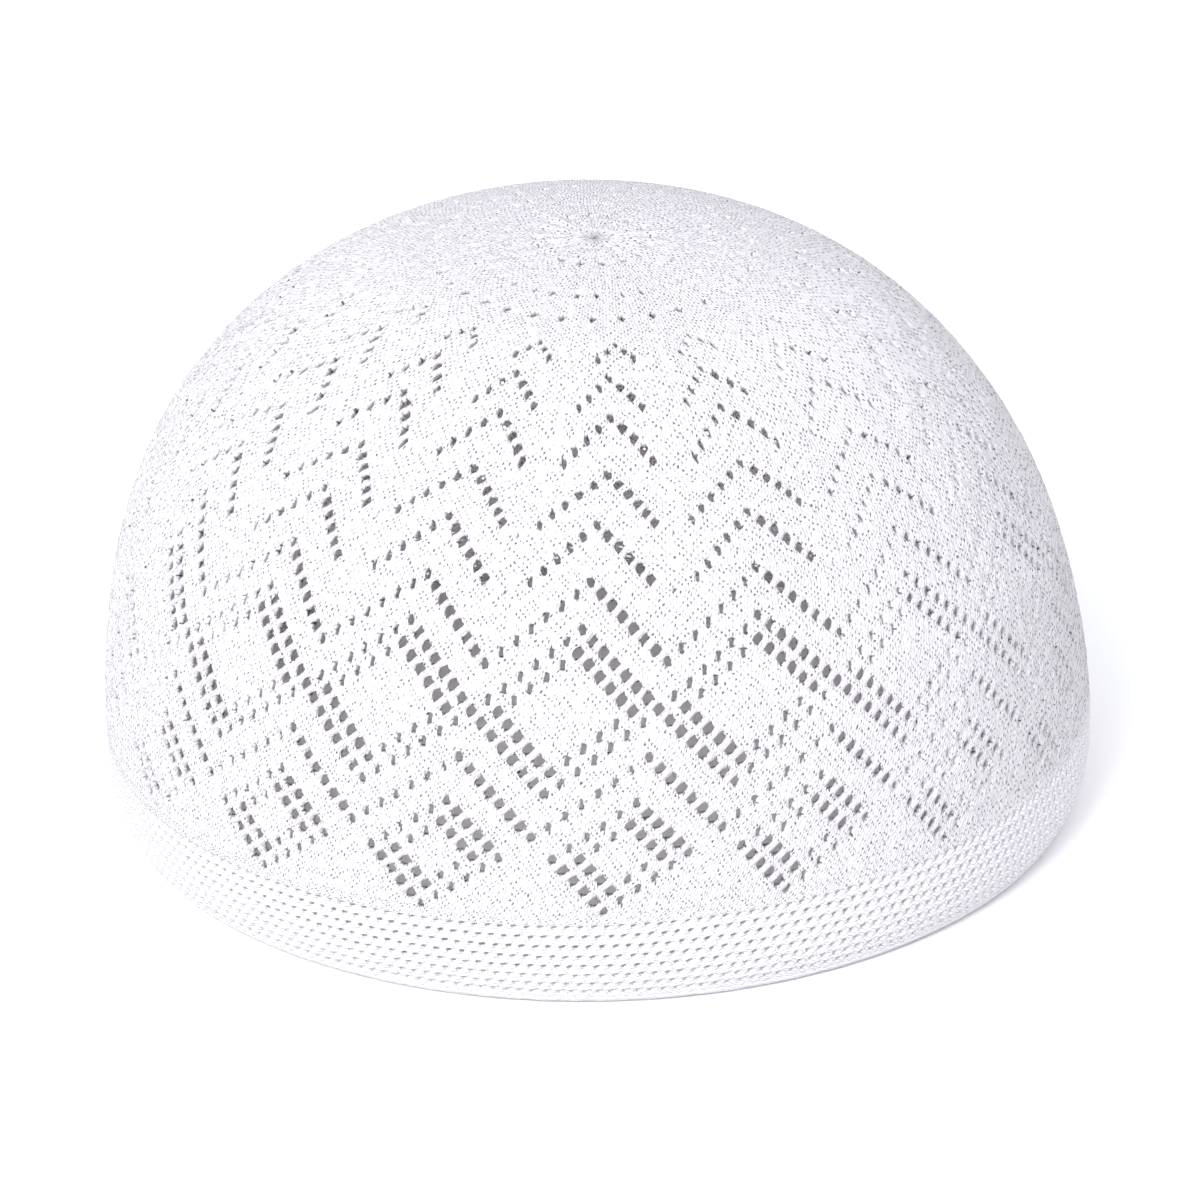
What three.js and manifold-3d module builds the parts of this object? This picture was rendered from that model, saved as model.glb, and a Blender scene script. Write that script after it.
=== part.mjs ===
import * as THREE from "three";
import { mergeGeometries, mergeVertices } from "three/addons/utils/BufferGeometryUtils.js";
import Module from "manifold-3d";

// A kufi: a round knitted openwork cap, in millimetres, +Z up, standing on its rim at z = 0.
// The real cap is knitted in one piece from the rim to the gathered crown, so it is one hollow solid.

// Driving dimensions
const CAP_RADIUS = 90; // outside, at the widest ring
const CAP_HEIGHT = 110.8;
const BAND_HEIGHT = 14.9; // the net band at the rim, up to the widest ring
const RIM_TURN_IN = 3.2; // how far the rim's edge leans in from the widest ring
const WALL = 1.8; // doubled yarn loops, as thick as the knitting
const CROWN_LEAN = 1.3; // how far the crown sits to the left of the rim's centre
const GATHER_RADIUS = 15; // reach of the tucks round the closed centre of the crown
const GATHER_DEPTH = 1.0; // height of a tuck's ridge over the smooth crown
const GAP_WIDTH = 1.4; // of one line of openwork

// Shape numbers without a unit
const CROWN_FULLNESS = 2.3; // exponent of the rounded side: 2 is an ellipse, more is squarer
const TURN_IN_POWER = 3.2; // how late the band starts to lean in
const REPEATS = 17; // copies of the knitted pattern round the cap
const COLUMNS = 14; // columns of eyelets in one repeat
const ROWS = 76; // rows of eyelets from the rim's edge to the centre of the crown
const FIRST_ROW = 9; // the row where the diamonds start, above the net band
const ROW_DRIFT = 0.0165; // how far each row moves on round the cap, as a share of one repeat
const CHART_TURN = 0.05; // the first diamond's place right of the front, as a share of one repeat
const SEGMENTS = 2 * REPEATS; // a ridge and a valley for each tuck of the crown
const SIDE_ROWS = 8; // rings of faces on the rounded side
const BAND_ROWS = 3; // rings of faces on the net band
const TUCK_RINGS = [0.8, 0.3]; // radii of the tucked rings, as shares of the gathers' reach

// Soft dents and bulges of the side. turn is the direction in turns counter-clockwise from +X,
// height a share of the cap's height, push a share of its radius (outwards is positive),
// spreadTurn and spreadHeight the reach as shares of a turn and of the height.
const DENTS = [
  { turn: 0.94, height: 0.14, push: 0.022, spreadTurn: 0.12, spreadHeight: 0.20 },
  { turn: 0.66, height: 0.10, push: -0.006, spreadTurn: 0.08, spreadHeight: 0.20 },
  { turn: 0.40, height: 0.62, push: 0.012, spreadTurn: 0.12, spreadHeight: 0.22 },
  { turn: 0.08, height: 0.72, push: -0.010, spreadTurn: 0.10, spreadHeight: 0.20 },
];

// The lines of openwork in one repeat. Each is cut as one chevron that joins the eyelets of its two
// sides. row and column are the place of its corner on the knitting chart, arm the eyelets on each
// side, and rises is 1 where the arms climb from the corner and -1 where they fall.
const CHEVRONS = [
  { line: "diamond_foot", row: 0, column: 0, arm: 4, rises: 1 },
  { line: "diamond_head", row: 10, column: 0, arm: 4, rises: -1 },
  { line: "first_zigzag", row: 14, column: 0, arm: 6, rises: -1 },
  { line: "plain_diamond_foot", row: 13, column: -7, arm: 4, rises: 1 },
  { line: "plain_diamond_head", row: 23, column: -7, arm: 4, rises: -1 },
  { line: "second_zigzag", row: 29, column: -7, arm: 6, rises: -1 },
  { line: "crown_zigzag", row: 42, column: -9, arm: 4, rises: -1 },
];

const TURN = 2 * Math.PI;

// A point of the rounded side, between the widest ring at angle 0 and the crown at a quarter turn.
function sidePoint(angle) {
  const power = 2 / CROWN_FULLNESS;
  const rise = (CAP_HEIGHT - BAND_HEIGHT) * Math.pow(Math.sin(angle), power);
  return new THREE.Vector2(CAP_RADIUS * Math.pow(Math.cos(angle), power), BAND_HEIGHT + rise);
}

// The half section from the rim's edge up to the centre of the crown.
function outsideSection() {
  const points = [];
  for (let row = 0; row < BAND_ROWS; row++) {
    const z = (BAND_HEIGHT * row) / BAND_ROWS;
    const lean = RIM_TURN_IN * Math.pow(1 - z / BAND_HEIGHT, TURN_IN_POWER);
    points.push(new THREE.Vector2(CAP_RADIUS - lean, z));
  }
  for (let row = 0; row < SIDE_ROWS; row++) {
    points.push(sidePoint((0.25 * TURN * row) / SIDE_ROWS));
  }
  for (const share of TUCK_RINGS) {
    const cosine = Math.pow((share * GATHER_RADIUS) / CAP_RADIUS, CROWN_FULLNESS / 2);
    points.push(sidePoint(Math.acos(cosine)));
  }
  points.push(new THREE.Vector2(0, CAP_HEIGHT));
  return points;
}

// The same section moved inwards by the wall, level with the outside one at the rim and the centre.
function insideSection(outside) {
  const last = outside.length - 1;
  return outside.map((point, index) => {
    if (index === last) {
      return new THREE.Vector2(0, point.y - WALL);
    }
    const along = outside[index + 1].clone().sub(outside[Math.max(index - 1, 0)]).normalize();
    const moved = point.clone().add(new THREE.Vector2(-along.y, along.x).multiplyScalar(WALL));
    moved.y = index === 0 ? 0 : moved.y;
    return moved;
  });
}

// How far a point of the side is pushed outwards by the dents and bulges.
function dentPush(azimuth, z) {
  let push = 0;
  for (const dent of DENTS) {
    const away = Math.atan2(Math.sin(azimuth - dent.turn * TURN), Math.cos(azimuth - dent.turn * TURN));
    const across = away / (dent.spreadTurn * TURN);
    const up = (z / CAP_HEIGHT - dent.height) / dent.spreadHeight;
    push += dent.push * CAP_RADIUS * Math.exp(-across * across - up * up);
  }
  return push;
}

// Moves a point of the round shell to its place on the worn-in cap: dents, leaning crown and tucks.
function settle(point) {
  const radius = Math.hypot(point.x, point.y);
  const azimuth = Math.atan2(point.y, point.x);
  const rise = point.z / CAP_HEIGHT;
  const outwards = radius > 0 ? 1 + dentPush(azimuth, point.z) / CAP_RADIUS : 1;
  const reach = point.z > CAP_HEIGHT / 2 ? radius / GATHER_RADIUS : Infinity;
  const tuck = GATHER_DEPTH * Math.exp(-reach * reach) * Math.cos(REPEATS * (azimuth + TURN / 4));
  point.set(point.x * outwards - CROWN_LEAN * rise * rise, point.y * outwards, point.z);
  point.z += radius > 0 ? Math.min(1, 2 * reach) * tuck : 0;
  return point;
}

function shellGeometry() {
  const outside = outsideSection();
  const inside = insideSection(outside);
  const section = [...inside].reverse().concat(outside);
  const geometry = new THREE.LatheGeometry(section, SEGMENTS);
  geometry.rotateX(TURN / 4);
  const places = geometry.getAttribute("position");
  const point = new THREE.Vector3();
  for (let i = 0; i < places.count; i++) {
    point.fromBufferAttribute(places, i);
    settle(point);
    places.setXYZ(i, point.x, point.y, point.z);
  }
  return geometry;
}

// The point and outward direction at a place on the knitting chart.
function placeOnChart(row, column, repeat) {
  const path = new THREE.CurvePath();
  const section = outsideSection();
  for (let i = 1; i < section.length; i++) {
    path.add(new THREE.LineCurve(section[i - 1], section[i]));
  }
  const climb = (FIRST_ROW + row) / ROWS;
  const shift = CHART_TURN + column / COLUMNS + row * ROW_DRIFT;
  const azimuth = ((repeat + shift) / REPEATS - 0.25) * TURN;
  const along = path.getTangentAt(climb);
  const at = path.getPointAt(climb);
  const outward = new THREE.Vector3(along.y * Math.cos(azimuth), along.y * Math.sin(azimuth), -along.x);
  const point = settle(new THREE.Vector3(at.x * Math.cos(azimuth), at.x * Math.sin(azimuth), at.y));
  return { point, outward };
}

// The flat outline of a bent line: two arms of one width that meet at a corner in the origin.
function chevronOutline(left, right) {
  const half = GAP_WIDTH / 2;
  const middle = left.clone().normalize().add(right.clone().normalize()).normalize();
  const corner = middle.clone().multiplyScalar(half / Math.abs(middle.cross(left.clone().normalize())));
  const outerSide = (arm) => {
    const side = new THREE.Vector2(arm.y, -arm.x).setLength(half);
    return side.dot(middle) > 0 ? side.negate() : side;
  };
  return new THREE.Shape([
    corner.clone().negate(),
    right.clone().add(outerSide(right)),
    right.clone().sub(outerSide(right)),
    corner,
    left.clone().sub(outerSide(left)),
    left.clone().add(outerSide(left)),
  ]);
}

// The closed plug of one chevron, which goes right through the wall.
function chevronPlug(chevron, repeat) {
  const endRow = chevron.row + chevron.rises * chevron.arm;
  const corner = placeOnChart(chevron.row, chevron.column, repeat);
  const left = placeOnChart(endRow, chevron.column - chevron.arm, repeat).point.sub(corner.point);
  const right = placeOnChart(endRow, chevron.column + chevron.arm, repeat).point.sub(corner.point);
  const across = new THREE.Vector3(0, 0, 1).cross(corner.outward).normalize();
  const up = corner.outward.clone().cross(across);
  const flat = (arm) => new THREE.Vector2(arm.dot(across), arm.dot(up));
  const depth = 6 * WALL; // long enough to pass the wall at the ends of the arms too
  const outline = chevronOutline(flat(left), flat(right));
  const plug = new THREE.ExtrudeGeometry(outline, { depth, bevelEnabled: false });
  plug.translate(0, 0, -depth / 2);
  plug.applyMatrix4(new THREE.Matrix4().makeBasis(across, up, corner.outward).setPosition(corner.point));
  return plug;
}

function openwork() {
  const plugs = CHEVRONS.flatMap((chevron) =>
    Array.from({ length: REPEATS }, (_, repeat) => chevronPlug(chevron, repeat)),
  );
  return mergeGeometries(plugs);
}

const wasm = await Module();
wasm.setup();

function toSolid(geometry) {
  geometry.deleteAttribute("normal");
  geometry.deleteAttribute("uv");
  const merged = mergeVertices(geometry);
  const vertProperties = new Float32Array(merged.getAttribute("position").array);
  const triVerts = new Uint32Array(merged.getIndex().array);
  return new wasm.Manifold(new wasm.Mesh({ numProp: 3, vertProperties, triVerts }));
}

function toGeometry(solid) {
  const mesh = solid.getMesh();
  const geometry = new THREE.BufferGeometry();
  geometry.setAttribute("position", new THREE.BufferAttribute(mesh.vertProperties, mesh.numProp));
  geometry.setIndex(new THREE.BufferAttribute(mesh.triVerts, 1));
  geometry.computeVertexNormals();
  return geometry;
}

// The whole cap, set so that its outline is centred over the origin.
function capShell() {
  const pierced = toSolid(shellGeometry()).subtract(toSolid(openwork()));
  const cotton = new THREE.MeshStandardMaterial({ color: 0xf4f4f8, roughness: 0.95, metalness: 0 });
  const mesh = new THREE.Mesh(toGeometry(pierced), cotton);
  mesh.name = "cap_shell";
  const centre = new THREE.Box3().setFromObject(mesh).getCenter(new THREE.Vector3());
  mesh.position.set(-centre.x, -centre.y, 0);
  return mesh;
}

const kufi = new THREE.Group();
kufi.add(capShell());

export default kufi;
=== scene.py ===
"""A white cotton kufi, knitted in openwork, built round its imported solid."""
import math

import bmesh
import bpy
import numpy as np
from bpy.props import FloatProperty, FloatVectorProperty, PointerProperty
from mathutils import Matrix, Vector


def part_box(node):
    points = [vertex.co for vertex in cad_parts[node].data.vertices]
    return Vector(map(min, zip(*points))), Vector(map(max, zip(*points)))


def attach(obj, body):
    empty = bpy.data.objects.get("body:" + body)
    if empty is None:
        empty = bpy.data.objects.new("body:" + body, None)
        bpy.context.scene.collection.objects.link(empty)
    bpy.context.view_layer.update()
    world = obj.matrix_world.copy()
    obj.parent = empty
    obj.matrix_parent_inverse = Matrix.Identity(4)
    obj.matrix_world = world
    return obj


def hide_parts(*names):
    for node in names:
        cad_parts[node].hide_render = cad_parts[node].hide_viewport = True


bl_info = {
    "name": "Kufi",
    "version": (1, 0, 0),
    "blender": (4, 5, 0),
    "location": "View3D > Sidebar > Kufi",
    "description": "Knits an openwork kufi round its solid",
    "category": "Object",
}

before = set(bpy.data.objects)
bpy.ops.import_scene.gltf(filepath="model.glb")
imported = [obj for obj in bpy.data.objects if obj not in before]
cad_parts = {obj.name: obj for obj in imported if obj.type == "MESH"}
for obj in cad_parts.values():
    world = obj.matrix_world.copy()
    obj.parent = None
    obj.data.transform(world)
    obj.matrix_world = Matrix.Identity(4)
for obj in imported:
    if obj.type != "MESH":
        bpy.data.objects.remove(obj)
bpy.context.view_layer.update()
NODE = "cap_shell"
CAP_LOW, CAP_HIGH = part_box(NODE)

MM = 0.001
TURN = 2 * math.pi

# Dents and bulges of the side, as the solid has them: direction in turns from +X, height as a share
# of the cap's height, push as a share of its radius, and the reach both ways.
DENTS = (
    {"turn": 0.94, "height": 0.14, "push": 0.022, "spread_turn": 0.12, "spread_height": 0.20},
    {"turn": 0.66, "height": 0.10, "push": -0.006, "spread_turn": 0.08, "spread_height": 0.20},
    {"turn": 0.40, "height": 0.62, "push": 0.012, "spread_turn": 0.12, "spread_height": 0.22},
    {"turn": 0.08, "height": 0.72, "push": -0.010, "spread_turn": 0.10, "spread_height": 0.20},
)

# The knitting chart. Row 0 holds the feet of the lowest diamonds. climb is the share of the way from
# the rim's edge to the crown's centre, drift how far the row has moved round, in repeats, and gather
# how much wider the columns are at a zigzag's peak than between two peaks.
ROWS = (
    {"row": -11, "climb": 0.0, "drift": -0.17, "gather": 0.0},
    {"row": -9, "climb": 0.0205, "drift": -0.15, "gather": 0.0},
    {"row": -8, "climb": 0.0315, "drift": -0.14, "gather": 0.0},
    {"row": -6, "climb": 0.0555, "drift": -0.12, "gather": 0.0},
    {"row": -4, "climb": 0.0800, "drift": -0.09, "gather": 0.0},
    {"row": -2, "climb": 0.1045, "drift": -0.06, "gather": 0.0},
    {"row": 0, "climb": 0.1225, "drift": -0.017, "gather": 0.0},
    {"row": 7, "climb": 0.210, "drift": 0.116, "gather": 0.0},
    {"row": 14, "climb": 0.296, "drift": 0.243, "gather": 0.0},
    {"row": 21, "climb": 0.386, "drift": 0.358, "gather": 0.0},
    {"row": 28, "climb": 0.475, "drift": 0.461, "gather": 0.0},
    {"row": 34, "climb": 0.550, "drift": 0.530, "gather": 0.15},
    {"row": 39, "climb": 0.606, "drift": 0.629, "gather": 0.3},
    {"row": 43, "climb": 0.663, "drift": 0.700, "gather": 0.45},
    {"row": 50.5, "climb": 0.764, "drift": 0.79, "gather": 0.6},
    {"row": 58.5, "climb": 0.850, "drift": 0.87, "gather": 0.0},
    {"row": 64.5, "climb": 0.920, "drift": 0.97, "gather": 0.0},
    {"row": 68.5, "climb": 0.968, "drift": 1.02, "gather": 0.0},
    {"row": 70.25, "climb": 1.0, "drift": 1.05, "gather": 0.0},
)
TOP_ROW = 70.25
REPEATS = 17
COLUMNS = 14
CHART_TURN = 0.05  # the first diamond's place right of the front, in repeats
NET_SLANT = 0.5  # columns that each row of the net is set over against the one below
NARROW_BELOW = 30  # above this row even the shallow lines have eyelets that open

# Stitches: rows of them in one row of the chart, and how many one repeat can have left as the cap
# gets narrower
STITCH_ROWS = 1.6
STITCHES_LEFT = (28, 24, 20, 17, 14, 12, 10, 8, 7, 6, 5, 4, 3, 2, 1)

# How the rows and columns lie on the worn cap: the front is stretched, a little more on the right, the
# rows are tilted from left to right and sag at the sides
STRETCH = 0.09
STRETCH_SKEW = 0.065
TILT_LOW = 0.011
TILT_HIGH = -0.018
SAG = 0.04
TILT_ROW = 50  # where the tilt is TILT_HIGH and the closing starts to lie aside of the top
CENTRE_REACH = 0.004  # radius inside which front and back of the knitting run together, in metres

# Faces of one cell of the chart, across and up, and half the width of the middle that is opened
OUTER_FACES = (4, 4)
BACK_FACES = (3, 2)
BACK_DROP = 0.25
OPENED = 0.25
NEAR = 0.3
BACK_WIDTH = 0.84  # an opening is narrower and lower on the back
BACK_RISE = 0.63

# Samples along the band and along the rounded side
BAND_SAMPLES = 40
SIDE_SAMPLES = 600

# The loops between the eyelets: the last row that has them, half their reach across and up in cells,
# and the sides and parts of each one's tube
LOOP_TOP_ROW = 36
LOOP_REACH = (0.36, 0.52)
LOOP_SIDES = 6
LOOP_PARTS = 5
HEM_SIDES = 10

LIGHTS = (
    {"name": "key_softbox", "place": (-0.9, -1.5, 1.4), "size": 1.2, "power": 62},
    {"name": "fill_softbox", "place": (1.5, -1.0, 0.5), "size": 1.2, "power": 9},
)

# Outlines of one eyelet by kind, in shares of its cell: the four tips and the four points between.
EYELETS = {
    "wide": {
        "right": (0.50, 0.10), "top": (0.06, 0.66), "left": (-0.48, 0.02), "bottom": (-0.07, -0.66),
        "upper_right": (0.21, 0.32), "upper_left": (-0.30, 0.38),
        "lower_left": (-0.26, -0.30), "lower_right": (0.24, -0.30),
    },
    "narrow": {
        "right": (0.19, -0.02), "top": (-0.12, 0.54), "left": (-0.23, 0.03), "bottom": (0.10, -0.54),
        "upper_right": (0.15, 0.38), "upper_left": (-0.36, 0.45),
        "lower_left": (-0.17, -0.38), "lower_right": (0.32, -0.44),
    },
    "turning": {
        "right": (0.33, 0.04), "top": (-0.02, 0.56), "left": (-0.35, 0.02), "bottom": (0.02, -0.56),
        "upper_right": (0.14, 0.28), "upper_left": (-0.34, 0.42),
        "lower_left": (-0.14, -0.28), "lower_right": (0.32, -0.40),
    },
    "pin": {
        "right": (0.13, 0.0), "top": (0.0, 0.17), "left": (-0.13, 0.0), "bottom": (0.0, -0.17),
        "upper_right": (0.10, 0.13), "upper_left": (-0.10, 0.13),
        "lower_left": (-0.10, -0.13), "lower_right": (0.10, -0.13),
    },
    "net": {
        "right": (0.24, 0.12), "top": (-0.18, 0.29), "left": (-0.28, 0.14), "bottom": (0.06, -0.14),
        "upper_right": (0.07, 0.26), "upper_left": (-0.29, 0.24),
        "lower_left": (-0.15, -0.04), "lower_right": (0.21, -0.05),
    },
}


def linear(code):
    """Linear colour of an sRGB hex value."""
    parts = [int(code[i:i + 2], 16) / 255 for i in (1, 3, 5)]
    return [p / 12.92 if p <= 0.04045 else ((p + 0.055) / 1.055) ** 2.4 for p in parts] + [1.0]


class CapSizes(bpy.types.PropertyGroup):
    """Sizes of the knitted cap."""

    radius: FloatProperty(name="Radius", description="Outside radius at the widest ring",
                          default=(CAP_HIGH[1] - CAP_LOW[1]) / 2, unit="LENGTH")
    height: FloatProperty(name="Height", description="From the rim to the top of the crown",
                          default=0.1108, unit="LENGTH")
    band_height: FloatProperty(name="Band height", description="Height of the net band at the rim",
                               default=0.0149, unit="LENGTH")
    turn_in: FloatProperty(name="Turn in", description="How far the rim leans in",
                           default=0.0032, unit="LENGTH")
    turn_power: FloatProperty(name="Turn power", description="How late the band leans in", default=3.2)
    fullness: FloatProperty(name="Fullness", description="Exponent of the rounded side", default=2.3)
    wall: FloatProperty(name="Wall", description="Thickness of the knitting",
                        default=0.0012, unit="LENGTH")
    lean: FloatProperty(name="Crown lean", description="How far the crown sits to the left",
                        default=0.0013, unit="LENGTH")
    yarn: FloatProperty(name="Yarn", description="Thickness of a yarn loop",
                        default=0.0011, unit="LENGTH")
    stitch: FloatProperty(name="Stitch relief", description="How far a stitch stands out",
                          default=0.00018, unit="LENGTH")
    crown_right: FloatProperty(name="Closing, right", description="Closed stitches right of the top",
                               default=0.0034, unit="LENGTH")
    crown_front: FloatProperty(name="Closing, front", description="Closed stitches in front of the top",
                               default=0.0016, unit="LENGTH")
    gather_reach: FloatProperty(name="Gather reach", description="Reach of the tucks of the crown",
                                default=0.015, unit="LENGTH")
    gather_depth: FloatProperty(name="Gather depth", description="Height of the ridge of a tuck",
                                default=0.001, unit="LENGTH")
    looseness: FloatProperty(name="Looseness", description="How far a stitch strays from its place",
                             default=0.00024, unit="LENGTH")


class CapColours(bpy.types.PropertyGroup):
    """Colours of the yarn, the shade painted between its loops, and the floor."""

    yarn: FloatVectorProperty(name="Yarn", description="Bleached cotton yarn", subtype="COLOR", size=4,
                              default=linear("#f6f6fa"))
    # The crevice colour is painted shade: the grey and dark that light leaves between the loops and
    # plies
    painted_crevice_shade: FloatVectorProperty(name="Crevice", description="Shaded yarn deep between the loops",
                                 subtype="COLOR", size=4, default=linear("#5c5b66"))
    through: FloatVectorProperty(name="Through", description="Tint of light that comes through cotton",
                                 subtype="COLOR", size=4, default=linear("#fcf6f3"))
    floor: FloatVectorProperty(name="Floor", description="Pale floor", subtype="COLOR", size=4,
                               default=linear("#f7f7f7"))


class Section:
    """The cap's half section, from the rim's edge to the centre of the crown."""

    def __init__(self, sizes):
        low = np.linspace(0, sizes.band_height, BAND_SAMPLES)[:-1]
        lean = sizes.turn_in * (1 - low / sizes.band_height) ** sizes.turn_power
        angle = np.linspace(0, TURN / 4, SIDE_SAMPLES)
        power = 2 / sizes.fullness
        side = sizes.radius * np.abs(np.cos(angle)) ** power
        rise = sizes.band_height + (sizes.height - sizes.band_height) * np.sin(angle) ** power
        self.radius = np.concatenate([sizes.radius - lean, side])
        self.height = np.concatenate([low, rise])
        steps = np.hypot(np.diff(self.radius), np.diff(self.height))
        self.climb = np.concatenate([[0], np.cumsum(steps)])
        self.length = self.climb[-1]
        self.up_radius = np.gradient(self.radius, self.climb)
        self.up_height = np.gradient(self.height, self.climb)

    def at(self, climb, values):
        """Values of the section at shares of the way up."""
        return np.interp(climb * self.length, self.climb, values)


def table(column):
    """One column of the knitting chart's table of rows."""
    return [entry[column] for entry in ROWS]


def wobble(a, b, seed):
    """Smooth waves between -1 and 1 over a plane, repeatable for a seed."""
    draw = np.random.RandomState(seed)
    total = np.zeros_like(a)
    for _ in range(6):
        fa, fb = draw.uniform(-1, 1, 2)
        total += np.sin(a * fa * 4 + b * fb * 4 + draw.uniform(0, TURN))
    return total / 6


def gathered(column, row):
    """Columns moved away from the peaks of the zigzags, where the decreases leave fewer of them."""
    gather = np.interp(row, table("row"), table("gather"))
    return column - gather * np.sin(column / COLUMNS * TURN) * COLUMNS / TURN


def front_angle(column, row):
    """Angle from the front, to the right, of places on the chart, with the front stretched."""
    drift = np.interp(row, table("row"), table("drift"))
    front = (CHART_TURN + gathered(column, row) / COLUMNS + drift) / REPEATS * TURN
    belly = np.sin(np.clip(row / 56, 0, 1) * math.pi)
    return front + belly * (STRETCH * np.sin(front) + STRETCH_SKEW * np.sin(front) ** 2 / 2)


def climb_of(row, front):
    """Share of the way from the rim to the crown, with the rows tilted and sagging."""
    climb = np.interp(row, table("row"), table("climb"))
    low = np.clip((row + 11) / 11, 0, 1)
    tilt = np.interp(row, (0, TILT_ROW, TOP_ROW), (TILT_LOW, TILT_HIGH, 0)) * low
    sag = SAG * np.sin(np.clip(row / 50, 0, 1) * math.pi)
    return climb + tilt * np.sin(front) - sag * np.sin(front) ** 2 / 2


def dent_push(azimuth, share):
    """How far the dents and bulges push the side out, as a share of the radius."""
    push = np.zeros_like(azimuth)
    for dent in DENTS:
        away = np.angle(np.exp(1j * (azimuth - dent["turn"] * TURN)))
        across = away / (dent["spread_turn"] * TURN)
        up = (share - dent["height"]) / dent["spread_height"]
        push += dent["push"] * np.exp(-across ** 2 - up ** 2)
    return push


def crown_tuck(sizes, front, radius, share):
    """Height of the small tucks round the closed centre. No two of them are alike."""
    azimuth = front - TURN / 4
    reach = np.where(share > 0.5, radius / sizes.gather_reach, 1e3)
    fold = 0.25 * np.cos(REPEATS * front) + 0.15 * np.cos(23 * azimuth)
    fold = fold + 0.2 * np.cos(2 * REPEATS * azimuth + 2)
    return sizes.gather_depth * np.exp(-1.6 * reach ** 2) * np.minimum(1, 4 * reach ** 2) * fold


def cap_place(sizes, section, column, row, out):
    """Points in metres for places on the chart, out metres above the smooth surface."""
    front = front_angle(column, row)
    climb = climb_of(row, front)
    azimuth = front - TURN / 4
    radius = section.at(climb, section.radius)
    height = section.at(climb, section.height)
    facing_out = section.at(climb, section.up_height)
    facing_up = -section.at(climb, section.up_radius)
    share = height / sizes.height
    push = dent_push(azimuth, share)
    tuck = crown_tuck(sizes, front, radius, share)
    out = out * np.clip(radius / CENTRE_REACH, 0, 1)
    # The stitches close a little to the right of the top and in front of it
    aside = np.clip((row - TILT_ROW) / (TOP_ROW - TILT_ROW), 0, 1)
    across = radius * np.cos(azimuth) + aside * sizes.crown_right
    along = radius * np.sin(azimuth) - aside * sizes.crown_front
    side = np.where(aside > 0, np.hypot(across, along), radius)
    rise = np.interp(-side, -section.radius[BAND_SAMPLES:], section.height[BAND_SAMPLES:])
    height = np.where(aside > 0, rise, height)
    azimuth = np.where(aside > 0, np.arctan2(along, across), azimuth)
    spread = (side + out * facing_out) * (1 + push)
    x = spread * np.cos(azimuth) - sizes.lean * share ** 2
    y = spread * np.sin(azimuth)
    z = height + out * facing_up + tuck
    return np.stack([x, y, np.maximum(z, 0)], axis=1)


def centre_shift(sizes, section):
    """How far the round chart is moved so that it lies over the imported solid."""
    column, row = np.meshgrid(np.linspace(0, REPEATS * COLUMNS, 477), np.linspace(-11, 60, 72))
    points = cap_place(sizes, section, column.ravel(), row.ravel(), np.zeros(column.size))
    middle = (points.min(axis=0) + points.max(axis=0)) / 2
    solid = (Vector(CAP_LOW) + Vector(CAP_HIGH)) / 2
    return np.array([solid.x - middle[0], solid.y - middle[1], 0])


def diamond(column, row, size):
    """Cells of a diamond's outline."""
    cells = set()
    for step in range(size):
        rest = size - step
        cells |= {(column + step, row + rest), (column + rest, row - step),
                  (column - step, row - rest), (column - rest, row + step)}
    return cells


def line(column, row, side, rise, count):
    """Cells of a straight line that starts in a cell."""
    return {(column + side * step, row + rise * step) for step in range(count)}


def zigzag(column, row, arm):
    """Cells of a peak with an arm that falls on each side."""
    return line(column, row, 1, -1, arm + 1) | line(column, row, -1, -1, arm + 1)


def openwork_chart():
    """Kind of each eyelet of one repeat, by its column and row."""
    peak = -COLUMNS // 2
    cells = diamond(0, 5, 5) | diamond(0, 5, 3) | zigzag(0, 14, 7)
    cells |= diamond(peak, 18, 5) | line(peak, 25, 1, -1, 15) | line(peak, 25, -1, -1, 7)
    cells |= {(peak - 1, 24), (peak + 6, 17), (peak + 1, 12)} | line(peak + 1, 12, 1, 1, 6)
    cells |= zigzag(peak, 29, 7) | zigzag(peak, 34, 5) | zigzag(peak, 39, 5)
    cells |= zigzag(peak, 44, 4) | zigzag(peak, 48, 3) | zigzag(peak + 1, 52, 2)
    cells = {(column % COLUMNS, row) for column, row in cells}
    return {cell: kind_of(cells, *cell) for cell in cells} | {(0, 28): "pin", (0, 33): "pin"}


def kind_of(cells, column, row):
    """Eyelets on a steep line open wide, those on a shallow one are pulled narrow."""
    above = ((column - 1) % COLUMNS, row + 1) in cells
    below = ((column + 1) % COLUMNS, row - 1) in cells
    shallow = ((column + 1) % COLUMNS, row + 1) in cells
    shallow += ((column - 1) % COLUMNS, row - 1) in cells
    if (above and below) or (above or below) and not shallow:
        return "wide"
    if (above or below) and shallow == 1:
        return "turning"
    return "narrow" if row < NARROW_BELOW else "turning"


def crown_chart():
    """Eyelets of the crown, where two columns of the chart are drawn as one."""
    return {(2, 56): "wide", (5, 56): "wide", (2, 60): "wide", (6, 60): "turning"}


def closing_chart():
    """Eyelets round the closed centre, where seven columns of the chart are drawn as one."""
    return {(0, 63): "pin", (1, 66): "turning"}


def ease(column, row):
    """How far the eyelets there are pulled open: less on the right and the back, which are slack."""
    if row < 0:
        return 1
    drift = np.interp(row, table("row"), table("drift"))
    front = (CHART_TURN + column / COLUMNS + drift) / REPEATS * TURN
    right = min(max((math.sin(front) - 0.35) / 0.4, 0), 1)
    back = min(max(-math.cos(front) / 0.3, 0), 1)
    return 1 - 0.28 * right - 0.25 * back * (1 - right)


def net_chart():
    """The net has one small hole in each cell."""
    return {(column, row): "net" for column in range(COLUMNS) for row in range(-9, -1)}


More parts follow.
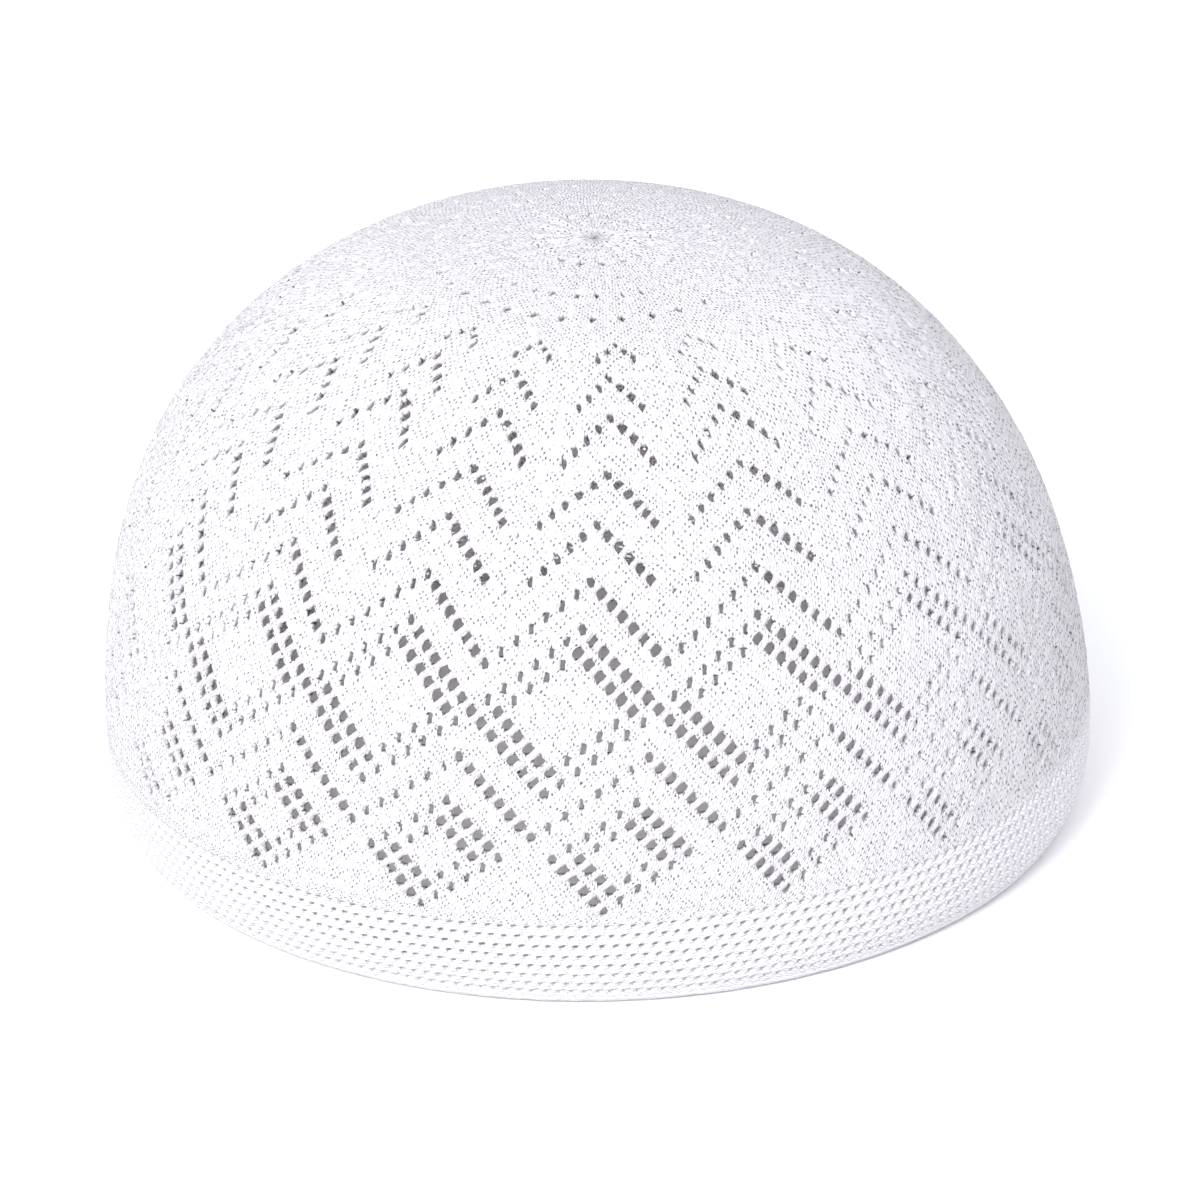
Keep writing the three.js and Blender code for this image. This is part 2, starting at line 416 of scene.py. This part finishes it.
def add_grid(bm, across, up, left, bottom, width, tall, out):
    """Adds a flat grid to the chart and returns its vertices."""
    made = bmesh.ops.create_grid(bm, x_segments=across, y_segments=up, size=0.5)["verts"]
    bmesh.ops.scale(bm, verts=made, vec=(width, tall, 1))
    bmesh.ops.translate(bm, verts=made, vec=(left + width / 2, bottom + tall / 2, out))
    return made


def cell_of(point):
    """The chart cell a point lies in and the point's place from its middle."""
    column = math.floor(point.x + 0.5)
    row = math.floor(point.y + 0.5)
    return column, row, point.x - column, point.y - row


def cut_eyelets(bm, chart, columns, level):
    """Opens the middle of each eyelet's cell in the sheet that lies at that level."""
    middle = []
    for face in bm.faces:
        point = face.calc_center_median()
        column, row, side, rise = cell_of(point)
        inside = max(abs(side), abs(rise)) < OPENED and abs(point.z - level) < NEAR
        if inside and (column % columns, row) in chart:
            middle.append(face)
    bmesh.ops.delete(bm, geom=middle, context="FACES")


def line_eyelets(bm, chart, columns):
    """Joins the outer and the inner edge of each eyelet by a wall."""
    rings = {}
    for edge in bm.edges:
        column, row, side, rise = cell_of((edge.verts[0].co + edge.verts[1].co) / 2)
        near = edge.is_boundary and max(abs(side), abs(rise)) < NEAR
        if near and (column % columns, row) in chart:
            rings.setdefault((column, row), []).append(edge)
    for ring in rings.values():
        bmesh.ops.bridge_loops(bm, edges=ring)


def tip_of(side, rise):
    """Name of the outline point a corner of an opening belongs to."""
    if abs(side) < 0.1:
        return "top" if rise > 0 else "bottom"
    if abs(rise) < 0.1:
        return "right" if side > 0 else "left"
    return ("upper_" if rise > 0 else "lower_") + ("right" if side > 0 else "left")


def outline_of(chart, columns, spread, column, row):
    """Outline of the eyelet in a cell, as far open as it is there, or None where the cell has none."""
    kind = chart.get((column % columns, row))
    if kind is None:
        return None
    first, stretch = spread
    size = ease(column * stretch + first, row)
    return {tip: (side * size, rise * size) for tip, (side, rise) in EYELETS[kind].items()}


def shape_eyelets(bm, chart, columns, spread, wall, relief):
    """Moves the corners of each opening to its outline and rounds its edge inwards."""
    for vert in bm.verts:
        column, row, side, rise = cell_of(vert.co)
        if max(abs(side), abs(rise)) > NEAR:
            continue
        outline = outline_of(chart, columns, spread, column, row)
        if outline is None:
            continue
        if vert.co.z < -wall / 2:
            side = outline["right" if side > 0 else "left"][0] * BACK_WIDTH
            rise = outline["top" if rise > 0 else "bottom"][1] * BACK_RISE
        else:
            side, rise = outline[tip_of(side, rise)]
            vert.co.z = -relief
        vert.co.x = column + side
        vert.co.y = row + rise


def pushed(away, tip):
    """Distance from the middle of an opening for a stitch that lay away from it, once it is open."""
    return math.copysign(tip + (abs(away) - OPENED) * (1 - tip) / (1 - OPENED), away)


def make_room(bm, chart, columns, count, spread, wall):
    """Moves the stitches beside each opening aside, so that none lies across it."""
    edge = (-0.5, columns * count - 0.5)
    for vert in bm.verts:
        if vert.co.z < -wall / 2:
            continue
        column, row, side, rise = cell_of(vert.co)
        place = vert.co.copy()
        for step in (-1, 0, 1):
            away = vert.co.y - row - step
            if abs(side) < NEAR < abs(away) < 1:
                outline = outline_of(chart, columns, spread, column, row + step)
                if outline:
                    tip = outline[tip_of(side, math.copysign(OPENED, away))][1]
                    place.y = row + step + pushed(away, abs(tip))
            away = vert.co.x - column - step
            if abs(rise) < NEAR < abs(away) < 1 and round(vert.co.x, 2) not in edge:
                outline = outline_of(chart, columns, spread, column + step, row)
                if outline:
                    tip = outline[tip_of(math.copysign(OPENED, away), rise)][0]
                    place.x = column + step + pushed(away, abs(tip))
        inside = max(abs(side), abs(rise)) < NEAR and (column % columns, row) in chart
        if not inside:
            vert.co = place


def raise_stitches(bm, relief):
    """Lifts each stitch of the outer sheet, column by column, or in level bands where it is netted."""
    for vert in bm.verts:
        across = round((vert.co.x + 0.5) * OUTER_FACES[0])
        ridge = 0.5 if across % 2 else -0.5
        level = float(np.interp(vert.co.y, (-1.5, -0.5, 30, 50), (0, 1, 1, 0)))
        netted = float(np.interp(vert.co.y, (-9.5, -8.5, -2.5, -1.5), (0, 1, 1, 0)))
        vert.co.z = relief * (ridge * level - netted * math.cos(vert.co.y * TURN))


def knit(chart, first_row, rows, columns, count, spread, sizes):
    """Knitting in chart units: x columns, y rows, z millimetres out of the surface."""
    wall = sizes.wall / MM
    relief = sizes.stitch / MM
    bm = bmesh.new()
    across, up = OUTER_FACES
    add_grid(bm, columns * across, rows * up, -0.5, first_row - 0.5, columns, rows, 0.0)
    raise_stitches(bm, relief)
    cut_eyelets(bm, chart, columns, 0.0)
    across, up = BACK_FACES
    lowest = first_row - BACK_DROP
    back = add_grid(bm, columns * across, rows * up, -0.5, lowest, columns, rows, -wall)
    faces = {face for vert in back for face in vert.link_faces}
    bmesh.ops.reverse_faces(bm, faces=list(faces))
    cut_eyelets(bm, chart, columns, -wall)
    line_eyelets(bm, chart, columns)
    repeat_round(bm, columns, count)
    make_room(bm, chart, columns, count, spread, wall)
    shape_eyelets(bm, chart, columns, spread, wall, relief)
    return bm


def repeat_round(bm, columns, count):
    """Copies one repeat round the cap and joins the copies."""
    one = bm.verts[:] + bm.edges[:] + bm.faces[:]
    for number in range(1, count):
        copy = bmesh.ops.duplicate(bm, geom=one)["geom"]
        verts = [item for item in copy if isinstance(item, bmesh.types.BMVert)]
        bmesh.ops.translate(bm, verts=verts, vec=(columns * number, 0, 0))
    bmesh.ops.remove_doubles(bm, verts=bm.verts[:], dist=0.001)


def corners(mesh):
    """Index of the vertex at each corner of each face."""
    corner = np.empty(len(mesh.loops), dtype=np.int32)
    mesh.loops.foreach_get("vertex_index", corner)
    return corner


def stitch_places(mesh, column, row, section):
    """Place of each face corner counted in stitches. The decreases follow the zigzags."""
    corner = corners(mesh)
    size = np.empty(len(mesh.polygons), dtype=np.int32)
    mesh.polygons.foreach_get("loop_total", size)
    start = np.empty(len(mesh.polygons), dtype=np.int32)
    mesh.polygons.foreach_get("loop_start", start)
    middle = np.add.reduceat(row[corner], start) / size
    peak = np.abs((np.add.reduceat(column[corner], start) / size) % COLUMNS - COLUMNS / 2)
    peak = peak * 0.5 * np.clip((58 - middle) / 10, 0, 1)
    round_there = section.at(np.interp(middle + peak, table("row"), table("climb")), section.radius)
    round_there = round_there / section.radius.max() * STITCHES_LEFT[0]
    left = np.array(STITCHES_LEFT)
    stitches = np.repeat(left[np.abs(left - round_there[:, None]).argmin(axis=1)], size)
    place = gathered(column, row)[corner] / COLUMNS
    return np.stack([place * stitches, row[corner] * STITCH_ROWS], axis=1)


def band_places(mesh, column, row, section):
    """Place across the level yarns of the net, which arch over each of its openings."""
    corner = corners(mesh)
    height = row - 0.12 * np.cos(column * TURN)
    return np.stack([np.full(len(corner), 0.5), height[corner]], axis=1)


def cell_places(mesh, column, row, section):
    """Place of each face corner in cells of the chart."""
    return np.stack([column, row], axis=1)[corners(mesh)]


def loosened(sizes, column, row):
    """How far the knitting strays from its place: columns, rows and metres out of the surface."""
    angle = column / (REPEATS * COLUMNS) * TURN
    side = wobble(np.cos(angle) * 40, np.sin(angle) * 40 + row * 1.1, 11)
    up = wobble(np.sin(angle) * 40, np.cos(angle) * 40 + row * 0.9, 12)
    lump = wobble(np.cos(angle) * 25, np.sin(angle) * 25 + row * 0.6, 13)
    cell = sizes.looseness / (2 * MM) * np.clip((TOP_ROW - row) / 4, 0, 1)
    return side * cell, up * cell, lump * sizes.looseness * 0.3


def finish_piece(bm, name, sizes, places, first=0, stretch=1.0, slant=0.0):
    """Bends a chart of knitting onto the cap and makes it a piece of the part."""
    mesh = bpy.data.meshes.new(name)
    bm.to_mesh(mesh)
    bm.free()
    chart = np.empty(len(mesh.vertices) * 3)
    mesh.vertices.foreach_get("co", chart)
    chart = chart.reshape(-1, 3)
    column = chart[:, 0] * stretch + first
    row = chart[:, 1]
    section = Section(sizes)
    layer = mesh.uv_layers.new(name="stitches")
    layer.data.foreach_set("uv", places(mesh, column, row, section).ravel())
    column = column + slant * (row + 1.5)
    side, up, lump = loosened(sizes, column, row)
    points = cap_place(sizes, section, column + side, row + up, chart[:, 2] * MM + lump)
    points += centre_shift(sizes, section)
    mesh.vertices.foreach_set("co", points.ravel())
    mesh.update()
    joined = bmesh.new()
    joined.from_mesh(mesh)
    bmesh.ops.remove_doubles(joined, verts=joined.verts[:], dist=2e-6)
    joined.to_mesh(mesh)
    joined.free()
    mesh.polygons.foreach_set("use_smooth", [True] * len(mesh.polygons))
    piece = bpy.data.objects.new(name, mesh)
    bpy.context.scene.collection.objects.link(piece)
    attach(piece, "root")
    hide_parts(NODE)
    return piece


def add_node(tree, kind, settings=None, **links):
    """Adds a node, sets its settings and inputs, and links nodes or sockets given as inputs."""
    node = tree.nodes.new(kind)
    for key, value in (settings or {}).items():
        setattr(node, key, value)
    for key, value in links.items():
        numbered = key[0] == "i" and key[1:].isdigit()
        socket = node.inputs[int(key[1:])] if numbered else node.inputs[key.replace("_", " ")]
        if isinstance(value, bpy.types.Node):
            value = value.outputs[0]
        if isinstance(value, bpy.types.NodeSocket):
            tree.links.new(value, socket)
        else:
            socket.default_value = value
    return node


def bleached_cotton_knit(colours):
    """Bleached combed cotton, two plies, knitted fine: matt, white yarn with painted shade grey between
    the loops.
    """
    material = bpy.data.materials.new("bleached_cotton_knit")
    material.use_nodes = True
    tree = material.node_tree
    shader = tree.nodes["Principled BSDF"]
    shader.inputs["Roughness"].default_value = 0.92
    shader.inputs["IOR"].default_value = 1.5
    shader.inputs["Specular IOR Level"].default_value = 0.15
    shader.inputs["Sheen Weight"].default_value = 0.25
    shader.inputs["Sheen Roughness"].default_value = 0.6
    # The map counts stitches: a whole number across is the border of two columns
    place = add_node(tree, "ShaderNodeUVMap", {"uv_map": "stitches"})
    uneven = add_node(tree, "ShaderNodeTexNoise", Vector=place, Scale=0.55, Detail=3.0)
    moved = add_node(tree, "ShaderNodeVectorMath", {"operation": "MULTIPLY_ADD"},
                     i0=uneven.outputs["Color"], i1=(1.1, 1.3, 0), i2=place)
    parts = add_node(tree, "ShaderNodeSeparateXYZ", i0=moved)
    # A stitch is a V of two legs: side is the distance from its middle, slanted follows the legs down
    whole = add_node(tree, "ShaderNodeMath", {"operation": "FRACT"}, i0=parts.outputs[0])
    offset = add_node(tree, "ShaderNodeMath", {"operation": "SUBTRACT"}, i0=whole, i1=0.5)
    side = add_node(tree, "ShaderNodeMath", {"operation": "ABSOLUTE"}, i0=offset)
    slanted = add_node(tree, "ShaderNodeMath", {"operation": "MULTIPLY_ADD"}, i0=side, i1=-1.1,
                       i2=parts.outputs[1])
    share = add_node(tree, "ShaderNodeMath", {"operation": "FRACT"}, i0=slanted)
    half_turn = add_node(tree, "ShaderNodeMath", {"operation": "MULTIPLY"}, i0=share, i1=math.pi)
    along = add_node(tree, "ShaderNodeMath", {"operation": "SINE"}, i0=half_turn)
    from_leg = add_node(tree, "ShaderNodeMath", {"operation": "MULTIPLY_ADD"}, i0=side, i1=4.0, i2=-1.0)
    off_leg = add_node(tree, "ShaderNodeMath", {"operation": "ABSOLUTE"}, i0=from_leg)
    leg = add_node(tree, "ShaderNodeMath", {"operation": "SUBTRACT", "use_clamp": True}, i0=1.0,
                   i1=off_leg)
    round_leg = add_node(tree, "ShaderNodeMath", {"operation": "POWER"}, i0=leg, i1=0.5)
    round_end = add_node(tree, "ShaderNodeMath", {"operation": "POWER", "use_clamp": True}, i0=along,
                         i1=0.5)
    loops = add_node(tree, "ShaderNodeMath", {"operation": "MULTIPLY"}, i0=round_leg, i1=round_end)
    coordinates = add_node(tree, "ShaderNodeTexCoord")
    fibre = add_node(tree, "ShaderNodeTexNoise", Vector=coordinates.outputs["Object"], Scale=2600.0,
                     Detail=2.0)
    height = add_node(tree, "ShaderNodeMath", {"operation": "MULTIPLY_ADD"}, i0=fibre, i1=0.25,
                      i2=loops)
    bump = add_node(tree, "ShaderNodeBump", Strength=1.0, Distance=0.0003, Height=height)
    tree.links.new(bump.outputs[0], shader.inputs["Normal"])
    # Painted shade: the loops are a little grey between each other and dark in the small gaps where
    # four of them meet
    groove_painted_shade = add_node(tree, "ShaderNodeMapRange", Value=loops, From_Max=0.5, To_Min=0.95)
    gap = add_node(tree, "ShaderNodeMath", {"operation": "MAXIMUM"}, i0=leg, i1=along)
    fleck_painted_shade = add_node(tree, "ShaderNodeMapRange", {"interpolation_type": "SMOOTHSTEP"}, Value=gap,
                     From_Min=0.20, From_Max=0.68)
    tight = add_node(tree, "ShaderNodeTexNoise", Vector=place, Scale=0.8, Detail=0.0)
    closed = add_node(tree, "ShaderNodeMath", {"operation": "MULTIPLY_ADD"}, i0=tight, i1=4.2, i2=-1.7)
    shown = add_node(tree, "ShaderNodeMix", {"data_type": "FLOAT", "clamp_factor": True}, Factor=closed,
                     i2=fleck_painted_shade, i3=1.0)
    depth = add_node(tree, "ShaderNodeMath", {"operation": "MULTIPLY"}, i0=groove_painted_shade, i1=shown)
    # depth is the share of yarn colour; the rest is the painted crevice shade
    tone = add_node(tree, "ShaderNodeMix", {"data_type": "RGBA"}, i0=depth, i6=colours.painted_crevice_shade,
                    i7=colours.yarn)
    tree.links.new(tone.outputs[2], shader.inputs["Base Color"])
    let_light_through(tree, colours, tone.outputs[2], bump)
    return material


def let_light_through(tree, colours, colour, normal):
    """Thin white cotton lets two fifths of the light through."""
    tinted = add_node(tree, "ShaderNodeMix", {"data_type": "RGBA", "blend_type": "MULTIPLY"}, i0=1.0,
                      i6=colour, i7=colours.through)
    through = add_node(tree, "ShaderNodeBsdfTranslucent", Color=tinted.outputs[2], Normal=normal)
    both = add_node(tree, "ShaderNodeMixShader", i0=0.4, i1=tree.nodes["Principled BSDF"], i2=through)
    tree.links.new(both.outputs[0], tree.nodes["Material Output"].inputs["Surface"])


def plied_cotton_yarn(colours):
    """The same cotton as bare yarn: two or three plies that run along each loop, with painted shade
    between them.
    """
    material = bpy.data.materials.new("plied_cotton_yarn")
    material.use_nodes = True
    tree = material.node_tree
    shader = tree.nodes["Principled BSDF"]
    shader.inputs["Roughness"].default_value = 0.9
    shader.inputs["Specular IOR Level"].default_value = 0.15
    shader.inputs["Sheen Weight"].default_value = 0.25
    place = add_node(tree, "ShaderNodeUVMap", {"uv_map": "stitches"})
    parts = add_node(tree, "ShaderNodeSeparateXYZ", i0=place)
    # A loop leans across its chart cell, which is 2.4 mm wide and 1.9 mm tall, and a ply is 0.35 mm
    whole = add_node(tree, "ShaderNodeMath", {"operation": "FRACT"}, i0=parts.outputs[0])
    side = add_node(tree, "ShaderNodeMath", {"operation": "MULTIPLY_ADD"}, i0=whole, i1=1.81, i2=-0.905)
    whole_rise = add_node(tree, "ShaderNodeMath", {"operation": "FRACT"}, i0=parts.outputs[1])
    rise = add_node(tree, "ShaderNodeMath", {"operation": "MULTIPLY_ADD"}, i0=whole_rise, i1=-1.27,
                    i2=0.635)
    across = add_node(tree, "ShaderNodeMath", {"operation": "ADD"}, i0=side, i1=rise)
    turns = add_node(tree, "ShaderNodeMath", {"operation": "MULTIPLY"}, i0=across, i1=math.pi / 0.35)
    wave = add_node(tree, "ShaderNodeMath", {"operation": "SINE"}, i0=turns)
    round_wave = add_node(tree, "ShaderNodeMath", {"operation": "ABSOLUTE"}, i0=wave)
    ply = add_node(tree, "ShaderNodeMath", {"operation": "POWER"}, i0=round_wave, i1=0.5)
    coordinates = add_node(tree, "ShaderNodeTexCoord")
    fibre = add_node(tree, "ShaderNodeTexNoise", Vector=coordinates.outputs["Object"], Scale=1900.0,
                     Detail=2.0)
    height = add_node(tree, "ShaderNodeMath", {"operation": "ADD"}, i0=fibre, i1=ply)
    bump = add_node(tree, "ShaderNodeBump", Strength=1.0, Distance=0.00025, Height=height)
    tree.links.new(bump.outputs[0], shader.inputs["Normal"])
    # Painted shade: the grooves between the plies are tinted towards the crevice colour
    shade = add_node(tree, "ShaderNodeMapRange", Value=ply, From_Max=0.6, To_Min=0.65)
    tone = add_node(tree, "ShaderNodeMix", {"data_type": "RGBA"}, i0=shade, i6=colours.painted_crevice_shade,
                    i7=colours.yarn)
    tree.links.new(tone.outputs[2], shader.inputs["Base Color"])
    let_light_through(tree, colours, tone.outputs[2], bump)
    return material


def pale_floor(colours):
    """Matt white paper, as a product backdrop has."""
    material = bpy.data.materials.new("matt_white_paper")
    material.use_nodes = True
    shader = material.node_tree.nodes["Principled BSDF"]
    shader.inputs["Base Color"].default_value = colours.floor
    shader.inputs["Roughness"].default_value = 0.9
    return material


def cotton():
    """The material of the knitting, made once."""
    made = bpy.data.materials.get("bleached_cotton_knit")
    return made or bleached_cotton_knit(bpy.context.scene.kufi_colours)


def yarn():
    """The material of the bare yarn, made once."""
    made = bpy.data.materials.get("plied_cotton_yarn")
    return made or plied_cotton_yarn(bpy.context.scene.kufi_colours)


class KUFI_OT_net_band(bpy.types.Operator):
    """Knits the net band at the rim"""

    bl_idname = "kufi.net_band"
    bl_label = "Net band"

    def execute(self, context):
        sizes = context.scene.kufi_sizes
        bm = knit(net_chart(), -10, 9, COLUMNS, REPEATS, (0, 1), sizes)
        piece = finish_piece(bm, "net_band", sizes, band_places, slant=NET_SLANT)
        piece.data.materials.append(yarn())
        return {"FINISHED"}


class KUFI_OT_side(bpy.types.Operator):
    """Knits the side in four gores of four or five repeats"""

    bl_idname = "kufi.side"
    bl_label = "Side"

    def execute(self, context):
        sizes = context.scene.kufi_sizes
        chart = openwork_chart()
        gores = (("front_gore", -2, 5), ("right_gore", 3, 4), ("back_gore", 7, 4), ("left_gore", 11, 4))
        for name, first, count in gores:
            bm = knit(chart, -1, 55, COLUMNS, count, (first * COLUMNS, 1), sizes)
            piece = finish_piece(bm, name, sizes, stitch_places, first=first * COLUMNS)
            piece.data.materials.append(cotton())
        return {"FINISHED"}


class KUFI_OT_crown(bpy.types.Operator):
    """Knits the gathered crown"""

    bl_idname = "kufi.crown"
    bl_label = "Crown"

    def execute(self, context):
        sizes = context.scene.kufi_sizes
        rings = (("crown", crown_chart(), 54, 8, 2), ("closing", closing_chart(), 62, 9, 7))
        for name, chart, first_row, rows, stretch in rings:
            bm = knit(chart, first_row, rows, COLUMNS // stretch, REPEATS, (0, stretch), sizes)
            piece = finish_piece(bm, name, sizes, stitch_places, stretch=stretch)
            piece.data.materials.append(cotton())
        return {"FINISHED"}


def drawn_out(bm, ring, parts, step=(0, 0, 0)):
    """Extends a ring of vertices into a tube of so many parts and returns the rings."""
    edges = list(dict.fromkeys(edge for vert in ring for edge in vert.link_edges))
    rings = [ring]
    for _ in range(parts):
        made = bmesh.ops.extrude_edge_only(bm, edges=edges)["geom"]
        ring = [item for item in made if isinstance(item, bmesh.types.BMVert)]
        edges = [item for item in made if isinstance(item, bmesh.types.BMEdge)
                 and all(vert in ring for vert in item.verts)]
        bmesh.ops.translate(bm, verts=ring, vec=step)
        rings.append(ring)
    return rings


def rope_repeat(chart, sizes):
    """The yarn loops that cross between neighbouring eyelets of a steep line, for one repeat."""
    bm = bmesh.new()
    thick = sizes.yarn / MM / 2
    for column, row in chart:
        lower = ((column + 1) % COLUMNS, row - 1)
        if lower not in chart or row > LOOP_TOP_ROW or "narrow" in (chart[column, row], chart[lower]):
            continue
        made = bmesh.ops.create_circle(bm, segments=LOOP_SIDES, radius=1.0, cap_ends=False)["verts"]
        for number, ring in enumerate(drawn_out(bm, made, LOOP_PARTS)):
            share = number / LOOP_PARTS * 2 - 1
            swell = 1 - 0.3 * share ** 4
            for vert in ring:
                across, high = vert.co.x, vert.co.y
                vert.co.x = column + 0.5 + LOOP_REACH[0] * share + across * thick * 0.33 * swell
                vert.co.y = row - 0.5 + LOOP_REACH[1] * share - across * thick * 0.26 * swell
                vert.co.z = -0.04 - 0.32 * share ** 2 + high * thick * 0.66 * swell
    bmesh.ops.holes_fill(bm, edges=bm.edges[:], sides=LOOP_SIDES)
    return bm


class KUFI_OT_ropes(bpy.types.Operator):
    """Lays the yarn loops between the eyelets of the steep lines"""

    bl_idname = "kufi.ropes"
    bl_label = "Yarn loops"

    def execute(self, context):
        sizes = context.scene.kufi_sizes
        bm = rope_repeat(openwork_chart(), sizes)
        repeat_round(bm, COLUMNS, REPEATS)
        for vert in bm.verts:
            vert.co.z -= (1 - ease(vert.co.x, vert.co.y)) * sizes.wall / MM / 2
        bmesh.ops.recalc_face_normals(bm, faces=bm.faces[:])
        finish_piece(bm, "yarn_loops", sizes, cell_places).data.materials.append(yarn())
        return {"FINISHED"}


class KUFI_OT_hem(bpy.types.Operator):
    """Rolls the finished edge of the rim"""

    bl_idname = "kufi.hem"
    bl_label = "Hem"

    def execute(self, context):
        sizes = context.scene.kufi_sizes
        bm = bmesh.new()
        half_wall = sizes.wall / MM / 2
        ring = bmesh.ops.create_circle(bm, segments=HEM_SIDES, radius=1.0, cap_ends=False)["verts"]
        bmesh.ops.rotate(bm, verts=ring, cent=(0, 0, 0), matrix=Matrix.Rotation(TURN / 4, 3, "Y"))
        bmesh.ops.scale(bm, verts=ring, vec=(1, 0.78, half_wall + 0.15))
        bmesh.ops.translate(bm, verts=ring, vec=(-0.5, -10.2, -half_wall))
        drawn_out(bm, ring, COLUMNS * 2, (0.5, 0, 0))
        repeat_round(bm, COLUMNS, REPEATS)
        bmesh.ops.recalc_face_normals(bm, faces=bm.faces[:])
        finish_piece(bm, "hem", sizes, band_places).data.materials.append(yarn())
        return {"FINISHED"}


class KUFI_OT_stage(bpy.types.Operator):
    """Sets the floor, the soft light and the camera"""

    bl_idname = "kufi.stage"
    bl_label = "Stage"

    def execute(self, context):
        scene = context.scene
        bm = bmesh.new()
        bmesh.ops.create_grid(bm, x_segments=1, y_segments=1, size=6.0)
        mesh = bpy.data.meshes.new("floor")
        bm.to_mesh(mesh)
        bm.free()
        floor = bpy.data.objects.new("floor", mesh)
        mesh.materials.append(pale_floor(scene.kufi_colours))
        scene.collection.objects.link(floor)
        world = bpy.data.worlds.new("soft_white_sky")
        world.use_nodes = True
        world.node_tree.nodes["Background"].inputs["Color"].default_value = linear("#f8f9ff")
        world.node_tree.nodes["Background"].inputs["Strength"].default_value = 1.13
        scene.world = world
        for light in LIGHTS:
            add_light(**light)
        add_camera(scene)
        scene.view_settings.view_transform = "Standard"
        return {"FINISHED"}


def add_light(name, place, size, power):
    """A square softbox that faces the cap."""
    light = bpy.data.lights.new(name, "AREA")
    light.size = size
    light.energy = power
    lamp = bpy.data.objects.new(name, light)
    lamp.location = place
    lamp.rotation_euler = (Vector((0, 0, 0.05)) - lamp.location).to_track_quat("-Z", "Y").to_euler()
    bpy.context.scene.collection.objects.link(lamp)


def add_camera(scene):
    """A long lens, looking down on the cap's front, rolled as in the photograph."""
    elevation = math.radians(26.2)
    roll = math.radians(-1.3)
    distance = 1.8
    pixels_per_mm = 5.442
    picture = 1200
    sensor = 36.0
    away = Vector((0, -math.cos(elevation), math.sin(elevation)))
    up = Vector((0, math.sin(elevation), math.cos(elevation)))
    aim = Vector((0.85 * MM, 0, 45 * MM)) - up * 7.13 * MM
    data = bpy.data.cameras.new("camera")
    data.sensor_width = sensor
    data.lens = pixels_per_mm * distance / MM / picture * sensor
    camera = bpy.data.objects.new("camera", data)
    look = (-away).to_track_quat("-Z", "Y").to_matrix().to_4x4() @ Matrix.Rotation(roll, 4, "Z")
    camera.matrix_world = Matrix.Translation(aim + away * distance) @ look
    scene.collection.objects.link(camera)
    scene.camera = camera


class KUFI_PT_panel(bpy.types.Panel):
    """Lists the cap's sizes and pieces"""

    bl_idname = "KUFI_PT_panel"
    bl_label = "Kufi"
    bl_space_type = "VIEW_3D"
    bl_region_type = "UI"
    bl_category = "Kufi"

    def draw(self, context):
        for name in CapSizes.__annotations__:
            self.layout.prop(context.scene.kufi_sizes, name)
        for name in CapColours.__annotations__:
            self.layout.prop(context.scene.kufi_colours, name)
        for operator in OPERATORS:
            self.layout.operator(operator.bl_idname)


OPERATORS = (KUFI_OT_net_band, KUFI_OT_side, KUFI_OT_crown, KUFI_OT_ropes, KUFI_OT_hem, KUFI_OT_stage)
CLASSES = (CapSizes, CapColours, *OPERATORS, KUFI_PT_panel)


def register():
    for item in CLASSES:
        bpy.utils.register_class(item)
    bpy.types.Scene.kufi_sizes = PointerProperty(type=CapSizes)
    bpy.types.Scene.kufi_colours = PointerProperty(type=CapColours)


def unregister():
    del bpy.types.Scene.kufi_colours
    del bpy.types.Scene.kufi_sizes
    for item in reversed(CLASSES):
        bpy.utils.unregister_class(item)


def main():
    register()
    bpy.ops.kufi.net_band()
    bpy.ops.kufi.side()
    bpy.ops.kufi.crown()
    bpy.ops.kufi.ropes()
    bpy.ops.kufi.hem()
    bpy.ops.kufi.stage()


if __name__ == "__main__":
    main()
